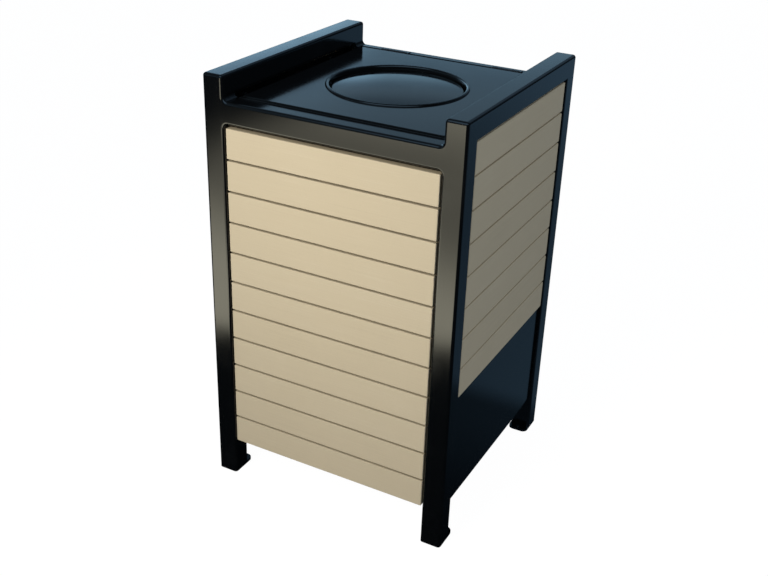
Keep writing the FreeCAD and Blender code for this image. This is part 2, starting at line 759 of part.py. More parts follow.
def build_hinges():
    """Two hinges at the lid's rear edge, each with a frame leaf, a lid leaf and a pin."""
    quarter = "(Size.hinge_width / 4)"
    outer_length = f"({quarter} - Size.hinge_gap)"
    inner_length = f"(2 * {quarter})"
    outer_start = f"{quarter} + Size.hinge_gap"
    frame_tongues = [("-Size.hinge_width / 2", outer_length), (outer_start, outer_length)]
    lid_tongues = [(f"-{quarter}", inner_length)]
    frame_leaves = []
    lid_leaves = []
    pins = []
    for side_name, side in SIDES.items():
        x = f"Size.hinge_offset * {side}"
        frame_leaves.append(hinge_leaf(f"frame_leaf_{side_name}", x, 1, CROSS_TOP, frame_tongues))
        lid_low = f"{LID_UNDER} - Size.hinge_leaf"
        lid_leaves.append(hinge_leaf(f"lid_leaf_{side_name}", x, -1, lid_low, lid_tongues))
        start = (f"{x} - Size.hinge_width / 2", KNUCKLE_Y, KNUCKLE_Z)
        pins.append(rod(f"hinge_pin_{side_name}", "x", "Size.pin_radius", "Size.hinge_width", start))
    group("hinge_frame_leaves", frame_leaves)
    group("hinge_lid_leaves", lid_leaves)
    group("hinge_pins", pins)


def build_disc():
    """The round disc: a pressed pan with a turned-down edge."""
    inner = f"({DISC_RADIUS} - Size.disc_sheet)"
    skirt_low = f"({DISC_TOP} - Size.disc_skirt)"
    disc = new_body("swing_disc")
    pan = revolve(disc, [
        ("0", DISC_TOP),
        (DISC_RADIUS, DISC_TOP),
        (DISC_RADIUS, skirt_low),
        (inner, skirt_low),
        (inner, DISC_UNDER),
        ("0", DISC_UNDER),
    ])
    pan = soften(disc, pan, ring_names(pan, DISC_RADIUS, DISC_TOP), "Size.disc_bend")
    soften(disc, pan, ring_names(pan, inner, DISC_UNDER), "Size.disc_bend - Size.disc_sheet")
    keep("swing_disc", disc)


def build_axle():
    """The disc's axle in flanged bushes, their brackets under the lid, and the axle's clips."""
    brackets = []
    bushes = []
    clips = []
    half = "Size.bracket_width / 2"
    bore = "(Size.axle_radius + Size.bush_wall)"
    for side_name, side in SIDES.items():
        name = f"bracket_{side_name}"
        plate_low = beyond(BRACKET_X, side, "Size.bracket_thick")
        plate_base = f"({AXLE_Z} - {half})"
        plate_size = ("Size.bracket_thick", "Size.bracket_width", f"{LID_UNDER} - {plate_base}")
        plate = block(f"{name}_plate", plate_size, (plate_low, f"-{half}", plate_base))
        foot_low = beyond(BRACKET_X, side, "Size.bracket_foot")
        foot_size = ("Size.bracket_foot", "Size.bracket_width", "Size.bracket_thick")
        foot_z = f"{LID_UNDER} - Size.bracket_thick"
        foot = block(f"{name}_foot", foot_size, (foot_low, f"-{half}", foot_z))
        whole = fuse(f"{name}_whole", plate, foot)
        hole_radius = f"{bore} + Size.set_clear"
        hole = rod(f"{name}_hole", "x", hole_radius, "Size.bracket_thick", (plate_low, "0", AXLE_Z))
        brackets.append(cut(f"{name}_cut", whole, hole))
        barrel = "(Size.bracket_thick + 2 * Size.bush_flange)"
        barrel_low = f"{plate_low} - Size.bush_flange"
        sleeve = rod(f"bush_{side_name}_sleeve", "x", bore, barrel, (barrel_low, "0", AXLE_Z))
        flange_low = within(BRACKET_X, side, "Size.bush_flange")
        flange_radius = f"{bore} + Size.bush_flange_reach"
        flange = rod(f"bush_{side_name}_flange", "x", flange_radius, "Size.bush_flange",
                     (flange_low, "0", AXLE_Z))
        blank = fuse(f"bush_{side_name}_blank", sleeve, flange)
        eye = rod(f"bush_{side_name}_eye", "x", "Size.axle_radius + Size.run_clear", barrel,
                  (barrel_low, "0", AXLE_Z))
        bushes.append(cut(f"bush_{side_name}", blank, eye))
        clip_low = beyond(CLIP_X, side, "Size.clip_thick")
        clip_disc = rod(f"clip_{side_name}_disc", "x", "Size.axle_radius + Size.clip_reach",
                        "Size.clip_thick", (clip_low, "0", AXLE_Z))
        clip_eye = rod(f"clip_{side_name}_eye", "x", "Size.axle_radius + Size.set_clear",
                       "Size.clip_thick", (clip_low, "0", AXLE_Z))
        clips.append(cut(f"clip_{side_name}", clip_disc, clip_eye))
    group("axle_brackets", brackets)
    group("axle_bushes", bushes)
    group("axle_clips", clips)
    reach = f"({CLIP_X} + Size.clip_thick + Size.axle_end)"
    axle = rod("axle", "x", "Size.axle_radius", f"2 * {reach}", (f"-{reach}", "0", AXLE_Z))
    keep("disc_axle", axle)


def build_counterweight():
    """Saddles that hold the disc on its axle, and the weight hung below them."""
    weight_top = f"({AXLE_Z} - Size.weight_drop)"
    saddles = []
    for side_name, side in SIDES.items():
        low_x = f"Size.saddle_offset * {side} - Size.saddle_width / 2"
        size = ("Size.saddle_width", "Size.saddle_depth", f"{DISC_UNDER} - {weight_top}")
        low = (low_x, "-Size.saddle_depth / 2", weight_top)
        blank = block(f"saddle_{side_name}_blank", size, low)
        eye = rod(f"saddle_{side_name}_eye", "x", "Size.axle_radius + Size.set_clear",
                  "Size.saddle_width", (low_x, "0", AXLE_Z))
        saddles.append(cut(f"saddle_{side_name}", blank, eye))
    group("disc_saddles", saddles)
    size = ("Size.weight_length", "Size.weight_depth", "Size.weight_height")
    low_y = "-Size.weight_depth / 2"
    low = ("-Size.weight_length / 2", low_y, f"{weight_top} - Size.weight_height")
    raw = block("counterweight_raw", size, low)
    edges = list(enumerate(raw.Shape.Edges, 1))
    keep("counterweight", round_off("counterweight_bar", raw, edges, "Size.weight_round"))


def write_parts():
    """Check every object, then write each node's shape to its own file."""
    doc.recompute()
    for item in doc.Objects:
        if "Invalid" in item.State or "Error" in item.State:
            raise RuntimeError(f"{item.Label} failed: {item.State}")
    for node, item in nodes.items():
        if item.Shape.isNull() or not item.Shape.isValid():
            raise RuntimeError(f"{node} has no valid shape")
    os.makedirs("parts", exist_ok=True)
    for node, item in nodes.items():
        item.Shape.exportStep(f"parts/{node}.step")
        print(f"{node}: {len(item.Shape.Solids)} solids, {item.Shape.Volume / 1000:.1f} cm3")


post_forms = build_posts()
build_rails(post_forms)
build_welds()
build_foot_plates()
build_floor()
build_liner()
build_end_walls()
build_side_walls()
build_screws()
build_lid()
build_hinges()
build_disc()
build_axle()
build_counterweight()
write_parts()
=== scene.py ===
"""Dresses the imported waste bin: tube frame, plank walls, hinged lid, swinging disc and liner.

Every piece is a surface worked out with numpy in the CAD frame, in metres, and takes its place and
size from the CAD node that it stands for. The studio at the end has a pale floor and soft lamps.
"""

import json
import logging
import math
from dataclasses import dataclass, field
from enum import Enum
from functools import cache
from typing import Any, Optional, Sequence, Union

import bmesh
import bpy
import numpy as np
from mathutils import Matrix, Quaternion, Vector


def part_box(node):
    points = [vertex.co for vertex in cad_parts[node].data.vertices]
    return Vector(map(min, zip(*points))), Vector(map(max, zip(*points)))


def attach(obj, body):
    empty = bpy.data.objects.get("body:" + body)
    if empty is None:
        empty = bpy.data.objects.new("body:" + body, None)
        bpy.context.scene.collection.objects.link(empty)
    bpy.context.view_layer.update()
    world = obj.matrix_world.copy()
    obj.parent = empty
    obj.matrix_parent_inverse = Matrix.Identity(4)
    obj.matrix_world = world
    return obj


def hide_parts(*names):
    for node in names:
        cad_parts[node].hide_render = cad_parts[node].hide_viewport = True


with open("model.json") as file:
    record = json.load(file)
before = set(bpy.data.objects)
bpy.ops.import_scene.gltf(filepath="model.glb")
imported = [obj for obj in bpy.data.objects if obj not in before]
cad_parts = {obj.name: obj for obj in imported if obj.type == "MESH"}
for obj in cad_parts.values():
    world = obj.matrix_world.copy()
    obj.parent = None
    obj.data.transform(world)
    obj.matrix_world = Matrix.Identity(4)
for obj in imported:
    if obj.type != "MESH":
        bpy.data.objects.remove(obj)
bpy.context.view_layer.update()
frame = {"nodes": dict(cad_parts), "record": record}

LOG = logging.getLogger("waste_bin")
Triple = tuple[float, float, float]
Colour = Triple
Span = tuple[float, float]
QUARTER = math.pi / 2
CREASE = math.radians(42.0)
MILLIMETRE = 0.001
LEAST_RADIUS = 0.00005
HAIR = 1e-5
NEARLY_ZERO = 1e-9


class Axis(Enum):
    """A direction of the row frame."""

    X = 0
    Y = 1
    Z = 2

    @property
    def across(self) -> list[int]:
        """The two directions across this one, in right-handed order."""
        return [(self.value + 1) % 3, (self.value + 2) % 3]


class Body(Enum):
    """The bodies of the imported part."""

    FRAME = "frame"
    LID = "lid"
    DISC = "disc"


class Slot(Enum):
    """The record's material slots."""

    FRAME_COAT = "frame_coat"
    LID_COAT = "lid_coat"
    SHEET_COAT = "sheet_coat"
    INNER_COAT = "inner_coat"
    PLANK = "plank"
    LINER = "liner"
    STEEL = "screw_steel"
    BUSH = "bush"


class Ends(Enum):
    """The two ends of the bin along Y, with the direction that points outwards."""

    FRONT = -1
    REAR = 1


class Sides(Enum):
    """The two sides of the bin along X, with the direction that points outwards."""

    LEFT = -1
    RIGHT = 1


# Shader graphs

Settings = dict[str, Any]
Sockets = dict[Union[str, int], Any]


@dataclass(frozen=True)
class Wire:
    """One output socket of a graph; arithmetic on it adds Math nodes."""

    graph: "Graph"
    socket: bpy.types.NodeSocket

    def other(self, output: str) -> "Wire":
        """Another output of the same node."""
        return Wire(self.graph, self.socket.node.outputs[output])

    def _math(self, operation: str, first: Any, second: Any) -> "Wire":
        """A Math node on two values or wires."""
        return self.graph.node("ShaderNodeMath", {"operation": operation}, {0: first, 1: second})

    def __add__(self, value: Any) -> "Wire":
        """This plus a value."""
        return self._math("ADD", self, value)

    __radd__ = __add__

    def __sub__(self, value: Any) -> "Wire":
        """This minus a value."""
        return self._math("SUBTRACT", self, value)

    def __rsub__(self, value: Any) -> "Wire":
        """A value minus this."""
        return self._math("SUBTRACT", value, self)

    def __mul__(self, value: Any) -> "Wire":
        """This times a value."""
        return self._math("MULTIPLY", self, value)

    __rmul__ = __mul__

    def __truediv__(self, value: Any) -> "Wire":
        """This divided by a value."""
        return self._math("DIVIDE", self, value)


@dataclass(frozen=True)
class Graph:
    """The node tree of a material or a world."""

    tree: bpy.types.NodeTree

    @classmethod
    def of(cls, owner: Union[bpy.types.Material, bpy.types.World]) -> "Graph":
        """Empty the node tree of a material or a world.

        Args:
            owner: The material or world.

        Returns:
            Its graph, ready for new nodes.
        """
        owner.use_nodes = True
        owner.node_tree.nodes.clear()
        return cls(owner.node_tree)

    def _add(
        self, kind: str, settings: Optional[Settings], sockets: Optional[Sockets]
    ) -> bpy.types.Node:
        """Add one node.

        Args:
            kind: The node's type name.
            settings: Its properties, set first; "stops" gives a ramp's positions and colours.
            sockets: Values or wires for its inputs, by name or place.

        Returns:
            The node.
        """
        made = self.tree.nodes.new(kind)
        for key, value in (settings or {}).items():
            if key == "stops":
                self._set_stops(made.color_ramp, value)
            else:
                setattr(made, key, value)
        for key, value in (sockets or {}).items():
            if isinstance(value, Wire):
                self.tree.links.new(value.socket, made.inputs[key])
            else:
                made.inputs[key].default_value = value
        return made

    def node(
        self,
        kind: str,
        settings: Optional[Settings] = None,
        sockets: Optional[Sockets] = None,
        output: Union[str, int] = 0,
    ) -> Wire:
        """Add one node and take one of its outputs, by name or place."""
        return Wire(self, self._add(kind, settings, sockets).outputs[output])

    def end(self, kind: str, surface: Wire) -> None:
        """Add the output node that a shader ends in."""
        self._add(kind, None, {"Surface": surface})

    @staticmethod
    def _set_stops(ramp: bpy.types.ColorRamp, stops: Sequence[tuple[float, Colour]]) -> None:
        """Give a ramp its stops.

        Args:
            ramp: The ramp of a new node.
            stops: Pairs of a position and a colour, in order.
        """
        while len(ramp.elements) < len(stops):
            ramp.elements.new(1.0)
        for element, (position, colour) in zip(ramp.elements, stops):
            element.position = position
            element.color = (*colour, 1.0)

    def noise(self, vector: Wire, scale: float, detail: float = 2.0) -> Wire:
        """Smooth noise from 0 to 1 with a number of cells to the metre."""
        return self.node(
            "ShaderNodeTexNoise", None, {"Vector": vector, "Scale": scale, "Detail": detail}
        )

    def stretched(self, vector: Wire, scale: tuple[float, float, float]) -> Wire:
        """Coordinates scaled by their own factor along each direction."""
        return self.node("ShaderNodeMapping", None, {"Vector": vector, "Scale": scale})

    def fade(self, value: Wire, start: float, stop: float) -> Wire:
        """A smooth step.

        Args:
            value: What it follows.
            start: The value at which it is 0.
            stop: The value at which it is 1, above or below start.

        Returns:
            The step, from 0 to 1.
        """
        settings = {"interpolation_type": "SMOOTHSTEP"}
        low, high = min(start, stop), max(start, stop)
        ends = (0.0, 1.0) if start < stop else (1.0, 0.0)
        sockets = {"Value": value, 1: low, 2: high, 3: ends[0], 4: ends[1]}
        return self.node("ShaderNodeMapRange", settings, sockets)

    def blend(self, share: Any, first: Any, second: Any, kind: str = "MIX") -> Wire:
        """Two colours mixed.

        Args:
            share: A value or wire that is 0 for the first colour and 1 for the second.
            first: A colour or a wire.
            second: A colour or a wire.
            kind: The Mix node's way to blend.

        Returns:
            The mixed colour.
        """
        settings = {"data_type": "RGBA", "blend_type": kind}
        pair = [(*c, 1.0) if isinstance(c, tuple) else c for c in (first, second)]
        return self.node("ShaderNodeMix", settings, {0: share, 6: pair[0], 7: pair[1]}, 2)

    def scaled(self, colour: Any, share: Wire) -> Wire:
        """A colour times a value that may be over 1."""
        vector = {0: colour, "Scale": share}
        return self.node("ShaderNodeVectorMath", {"operation": "SCALE"}, vector)

    def bump(self, height: Wire, depth: float, strength: float) -> Wire:
        """A bumped normal from a height between 0 and 1 that is worth a depth in metres."""
        sockets = {"Height": height, "Distance": depth, "Strength": strength}
        return self.node("ShaderNodeBump", None, sockets)

    def place(self) -> Wire:
        """Object coordinates, which are the row frame's metres on every piece."""
        return self.node("ShaderNodeTexCoord", None, None, "Object")


@dataclass(frozen=True)
class Finish:
    """What every finish has: its name, its slot in the record and its mean colour.

    In the finishes below, cells are counted to the metre, a share says how much of a colour is laid
    over another, and a relief is a bump's depth in metres and its strength.
    """

    name: str
    slot: Slot
    colour: Colour

    def sockets(self, graph: Graph) -> dict[str, Any]:
        """What feeds the shader; each finish gives its own.

        Args:
            graph: The material's graph.

        Returns:
            Values and wires by the name of the shader's input.
        """
        raise NotImplementedError

    @cache
    def material(self) -> bpy.types.Material:
        """Make the material, once.

        Returns:
            The material, shared by every piece of this finish.
        """
        made = bpy.data.materials.new(self.name)
        graph = Graph.of(made)
        shader = graph.node("ShaderNodeBsdfPrincipled", None, self.sockets(graph))
        graph.end("ShaderNodeOutputMaterial", shader)
        made.diffuse_color = (*self.colour, 1.0)
        LOG.info("finish %s", self.name)
        return made


@dataclass(frozen=True)
class PowderCoat(Finish):
    """Black powder coat: a fine orange peel, faint haze in the gloss and a trace of dust."""

    roughness: float = 0.1
    gloss: float = 1.0
    haze_cells: float = 9.0
    grit_cells: float = 900.0
    peel_cells: float = 420.0
    relief: Span = (0.00006, 0.35)
    dust: Colour = (0.06, 0.06, 0.058)
    dust_share: float = 0.06

    def sockets(self, graph: Graph) -> dict[str, Any]:
        """Dust lightens the colour in broad patches, and haze widens the gloss a little."""
        place = graph.place()
        haze = graph.noise(place, self.haze_cells, 3.0)
        grit = graph.noise(place, self.grit_cells, 1.0)
        dusty = graph.fade(haze * 0.8 + grit * 0.2, 0.52, 0.8) * self.dust_share
        peel = graph.noise(place, self.peel_cells, 1.0)
        return {
            "Base Color": graph.blend(dusty, self.colour, self.dust),
            "Roughness": self.roughness + haze * 0.04 + dusty * 0.8,
            "Specular IOR Level": self.gloss,
            "Normal": graph.bump(peel, *self.relief),
        }


@dataclass(frozen=True)
class PlankFinish(Finish):
    """Sand-coloured plastic: streaks along the plank, specks, row tints and painted shade in the
    joints.
    """

    run: Axis
    row_base: float
    row_pitch: float
    # How strongly painted shade darkens the joints, from 0 to 1.
    joint_shade_share: float
    streak_cells: Span = (5.0, 340.0)
    grain_cells: float = 520.0
    cloud_cells: float = 7.0
    speck_cells: float = 210.0
    speck_share: float = 0.22
    dark: Colour = (0.44, 0.355, 0.225)
    dark_share: float = 0.34
    pale: Colour = (0.78, 0.69, 0.52)
    pale_share: float = 0.32
    # Colour of the painted shade in the joints.
    joint_shade: Colour = (0.03, 0.025, 0.014)
    roughness: float = 0.5
    gloss: float = 0.35
    relief: Span = (0.00035, 0.3)

    def sockets(self, graph: Graph) -> dict[str, Any]:
        """Streaks are noise stretched along the run; a row's tint follows its whole row number.

        Painted shade darkens the planks where the distance from the row's middle comes near half a
        row, along the joints.
        """
        place = graph.place()
        along, across = self.streak_cells
        scale = (along, across, across) if self.run is Axis.X else (across, along, across)
        streaks = graph.noise(graph.stretched(place, scale), 1.0, 3.0)
        grain = graph.noise(place, self.grain_cells)
        cloud = graph.noise(place, self.cloud_cells)
        height = graph.node("ShaderNodeSeparateXYZ", None, {0: place}, "Z")
        rows = (height - self.row_base) / self.row_pitch
        row = graph.node("ShaderNodeMath", {"operation": "FLOOR"}, {0: rows})
        off_middle = graph.node("ShaderNodeMath", {"operation": "ABSOLUTE"}, {0: rows - row - 0.5})
        # Painted shade: the planks darken towards the joints between rows.
        joint_shade_mask = graph.fade(off_middle, 0.456, 0.468) * self.joint_shade_share
        tint = graph.node("ShaderNodeTexWhiteNoise", {"noise_dimensions": "1D"}, {"W": row})
        cells = {"Vector": place, "Scale": self.speck_cells, "Randomness": 1.0}
        speck = graph.node("ShaderNodeTexVoronoi", None, cells)
        specks = 1.0 - graph.fade(speck, 0.05, 0.16)
        worn = streaks * 0.42 + grain * 0.3 + cloud * 0.2 + tint * 0.08
        body = graph.blend(graph.fade(worn, 0.5, 0.22) * self.dark_share, self.colour, self.dark)
        body = graph.blend(graph.fade(worn, 0.5, 0.76) * self.pale_share, body, self.pale)
        body = graph.blend(specks * self.speck_share, body, self.dark)
        return {
            "Base Color": graph.blend(joint_shade_mask, body, self.joint_shade),
            "Roughness": self.roughness + grain * 0.2,
            "Specular IOR Level": self.gloss,
            "Normal": graph.bump(streaks * 0.6 + grain * 0.4, *self.relief),
        }


@dataclass(frozen=True)
class MouldedPlastic(Finish):
    """Moulded plastic with a fine leathery grain and scuffs."""

    roughness: float = 0.5
    grain_cells: float = 260.0
    relief: Span = (0.0002, 0.4)
    scuff_cells: Triple = (60.0, 60.0, 4.0)
    scuff_share: float = 0.35

    def sockets(self, graph: Graph) -> dict[str, Any]:
        """Grain makes the surface uneven, and scuffs lighten it in streaks down the wall."""
        place = graph.place()
        grain = graph.noise(place, self.grain_cells, 3.0)
        rubbed = graph.noise(graph.stretched(place, self.scuff_cells), 1.0)
        scuffs = graph.fade(rubbed, 0.6, 0.85) * self.scuff_share
        pale = tuple(min(1.0, 1.6 * c + 0.02) for c in self.colour)
        return {
            "Base Color": graph.blend(scuffs, self.colour, pale),
            "Roughness": self.roughness + grain * 0.2,
            "Normal": graph.bump(grain, *self.relief),
        }


@dataclass(frozen=True)
class BrushedSteel(Finish):
    """Plain stainless steel with fine brush lines along X."""

    roughness: float = 0.25
    line_cells: Triple = (30.0, 1800.0, 1800.0)
    relief: Span = (0.00005, 0.4)

    def sockets(self, graph: Graph) -> dict[str, Any]:
        """Brush lines are noise stretched along X, in the roughness and in the height."""
        lines = graph.noise(graph.stretched(graph.place(), self.line_cells), 1.0)
        dull = tuple(0.8 * c for c in self.colour)
        return {
            "Base Color": graph.blend(lines * 0.5, self.colour, dull),
            "Metallic": 1.0,
            "Roughness": self.roughness + lines * 0.2,
            "Normal": graph.bump(lines, *self.relief),
        }


BLACK = (0.0025, 0.003, 0.0035)
SAND = (0.64, 0.535, 0.36)
FRAME_COAT = PowderCoat("frame_powder_coat", Slot.FRAME_COAT, BLACK)
LID_COAT = PowderCoat("lid_powder_coat", Slot.LID_COAT, BLACK, roughness=0.08)
SHEET_COAT = PowderCoat("sheet_powder_coat", Slot.SHEET_COAT, BLACK, roughness=0.09)
INNER_COAT = PowderCoat("satin_black", Slot.INNER_COAT, (0.006, 0.006, 0.007), 0.18)
LINER_PLASTIC = MouldedPlastic("liner_plastic", Slot.LINER, (0.035, 0.036, 0.038))
NYLON = MouldedPlastic("bush_nylon", Slot.BUSH, (0.7, 0.68, 0.62), 0.4, 600.0)
STEEL = BrushedSteel("stainless_steel", Slot.STEEL, (0.55, 0.55, 0.56))
CAD_FINISHES = {
    finish.slot.value: finish
    for finish in (FRAME_COAT, LID_COAT, SHEET_COAT, INNER_COAT, LINER_PLASTIC, NYLON, STEEL)
}


# Surfaces


def node_box(node: str) -> tuple[np.ndarray, np.ndarray]:
    """Lowest and highest corner of a CAD node, in metres."""
    low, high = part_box(node)
    return np.array(low), np.array(high)


@dataclass
class Surface:
    """A surface as arrays: points, four-sided faces, and rings that close its ends."""

    points: np.ndarray
    quads: np.ndarray
    rings: list[np.ndarray] = field(default_factory=list)

    @classmethod
    def from_grid(
        cls,
        grid: np.ndarray,
        loop_rows: bool = False,
        loop_columns: bool = True,
        capped: bool = False,
    ) -> "Surface":
        """Join the neighbours of a grid of points by four-sided faces.

        Args:
            grid: Points by row and column.
            loop_rows: Whether the last row joins the first.
            loop_columns: Whether the last column joins the first.
            capped: Whether the first and last rows are closed by a flat face.

        Returns:
            The surface.
        """
        rows, columns = grid.shape[:2]
        index = np.arange(rows * columns).reshape(rows, columns)
        rings = [index[0, ::-1], index[-1]] if capped else []
        if loop_rows:
            index = np.vstack([index, index[:1]])
        if loop_columns:
            index = np.hstack([index, index[:, :1]])
        corners = [index[:-1, :-1], index[:-1, 1:], index[1:, 1:], index[1:, :-1]]
        return cls(grid.reshape(-1, 3), np.stack(corners, -1).reshape(-1, 4), rings)

    @classmethod
    def joined(cls, parts: Sequence["Surface"]) -> "Surface":
        """Several separate surfaces as one."""
        starts = np.cumsum([0] + [len(part.points) for part in parts[:-1]])
        quads = [part.quads + start for part, start in zip(parts, starts)]
        rings = [ring + start for part, start in zip(parts, starts) for ring in part.rings]
        return cls(np.vstack([part.points for part in parts]), np.vstack(quads), rings)

    def to_object(self, name: str, closed: bool = True) -> bpy.types.Object:
        """Put the surface into a mesh object at the origin.

        Args:
            name: The object's name.
            closed: Whether the surface is closed, so that its faces can be turned outwards.

        Returns:
            The object, smooth apart from its creases.
        """
        mesh = bpy.data.meshes.new(name)
        faces = self.quads.tolist() + [ring.tolist() for ring in self.rings]
        mesh.from_pydata(self.points.tolist(), [], faces)
        if closed:
            shell = bmesh.new()
            shell.from_mesh(mesh)
            bmesh.ops.recalc_face_normals(shell, faces=shell.faces)
            shell.to_mesh(mesh)
            shell.free()
        mesh.shade_smooth()
        mesh.set_sharp_from_angle(angle=CREASE)
        piece = bpy.data.objects.new(name, mesh)
        bpy.context.scene.collection.objects.link(piece)
        return piece


def fit_piece(
    surface: Surface,
    name: str,
    body: Body,
    finish: Finish,
    nodes: Sequence[str],
    sheet: float = 0.0,
) -> None:
    """Make a piece that stands for CAD nodes and rides on their body.

    Args:
        surface: The piece's surface; an open one if a sheet thickness is given.
        name: The piece's name.
        body: The body that it rides on.
        finish: Its finish.
        nodes: The CAD nodes that it stands for.
        sheet: Thickness given to an open surface, inwards.
    """
    piece = surface.to_object(name, closed=not sheet)
    piece.data.materials.append(finish.material())
    if sheet:
        wall = piece.modifiers.new("wall", "SOLIDIFY")
        wall.thickness = sheet
        wall.offset = -1.0
    weights = piece.modifiers.new("face_weights", "WEIGHTED_NORMAL")
    weights.keep_sharp = True
    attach(piece, body.value)
    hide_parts(*nodes)
    LOG.info("piece %s: %d faces", name, len(piece.data.polygons))


def corner_rings(
    low: np.ndarray, high: np.ndarray, radius: float, shrink: np.ndarray, steps: int
) -> np.ndarray:
    """Rings of a rounded rectangle.

    Each corner is a quarter circle about a centre that lies one radius inside both sides. A ring's
    shrink is taken off the radius and the centres stay, so rings that shrink round an end off.

    Args:
        low: The rectangle's lowest corner, two coordinates.
        high: The rectangle's highest corner.
        radius: The corners' radius.
        shrink: What each ring takes off at each of its four corners, rings by 4.
        steps: Faces in a quarter circle.

    Returns:
        Points by ring, place on the ring and coordinate.
    """
    angles = np.arange(4)[:, None] * QUARTER + np.linspace(0.0, QUARTER, steps + 1)
    first = np.where([1, 0, 0, 1], high[0] - radius, low[0] + radius)
    second = np.where([1, 1, 0, 0], high[1] - radius, low[1] + radius)
    reach = np.maximum(radius - shrink, LEAST_RADIUS)[:, :, None]
    rings = [first[:, None] + reach * np.cos(angles), second[:, None] + reach * np.sin(angles)]
    return np.stack(rings, -1).reshape(len(shrink), -1, 2)


def stacked(rings: np.ndarray, along: np.ndarray, axis: Axis) -> Surface:
    """Stand flat rings along an axis and join them.

    Args:
        rings: Points by ring and place, two coordinates across the axis in right-handed order.
        along: Where they stand on the axis, by ring and place or by ring alone.
        axis: The axis.

    Returns:
        The surface, with both ends closed.
    """
    third = np.broadcast_to(along, rings.shape[:2])[..., None]
    grid = np.roll(np.concatenate([rings, third], -1), (axis.value + 1) % 3, -1)
    return Surface.from_grid(grid, capped=True)


def rounded_bar(
    low: np.ndarray, high: np.ndarray, axis: Axis, radius: float, steps: int
) -> Surface:
    """A bar with all its edges rounded to one radius.

    Towards each end the outline's rings shrink by radius times (1 - sin t) while they stand radius
    times (1 - cos t) in from the end face, with t from 0 at the face to a quarter turn.

    Args:
        low: The bar's lowest corner.
        high: Its highest corner.
        axis: The direction that it runs in.
        radius: The radius of its edges.
        steps: Faces in a quarter circle.

    Returns:
        The closed surface.
    """
    turn = np.linspace(0.0, QUARTER, steps + 1)
    lift = radius * (1.0 - np.cos(turn))
    shrink = radius * (1.0 - np.sin(turn))
    shrink = np.concatenate([shrink, shrink[::-1]])
    run = axis.value
    along = np.concatenate([low[run] + lift, high[run] - lift[::-1]])
    across = axis.across
    rings = corner_rings(low[across], high[across], radius, np.repeat(shrink[:, None], 4, 1), steps)
    return stacked(rings, along[:, None], axis)


def turned(profile: np.ndarray, centre: np.ndarray, steps: int, loop: bool) -> Surface:
    """A profile turned about an upright axis: x and y are radius times cosine and sine.

    Args:
        profile: Radius and height of each point.
        centre: Where the axis stands, x and y.
        steps: Faces in a full turn.
        loop: Whether the profile is a closed loop; an open one is closed by flat faces.

    Returns:
        The closed surface.
    """
    angle = np.linspace(0.0, 2.0 * math.pi, steps, endpoint=False)
    radius, height = profile[:, :1], profile[:, 1:]
    x = centre[0] + radius * np.cos(angle)
    y = centre[1] + radius * np.sin(angle)
    grid = np.stack([x, y, np.broadcast_to(height, x.shape)], -1)
    return Surface.from_grid(grid, loop_rows=loop, capped=not loop)


def arc(
    centre: Sequence[float], radius: float, start: float, stop: float, steps: int
) -> np.ndarray:
    """Points on a circle's arc from a start angle to a stop angle in degrees."""
    angle = np.radians(np.linspace(start, stop, steps + 1))
    return np.array(centre) + radius * np.stack([np.cos(angle), np.sin(angle)], -1)


# The bin's sub-assemblies


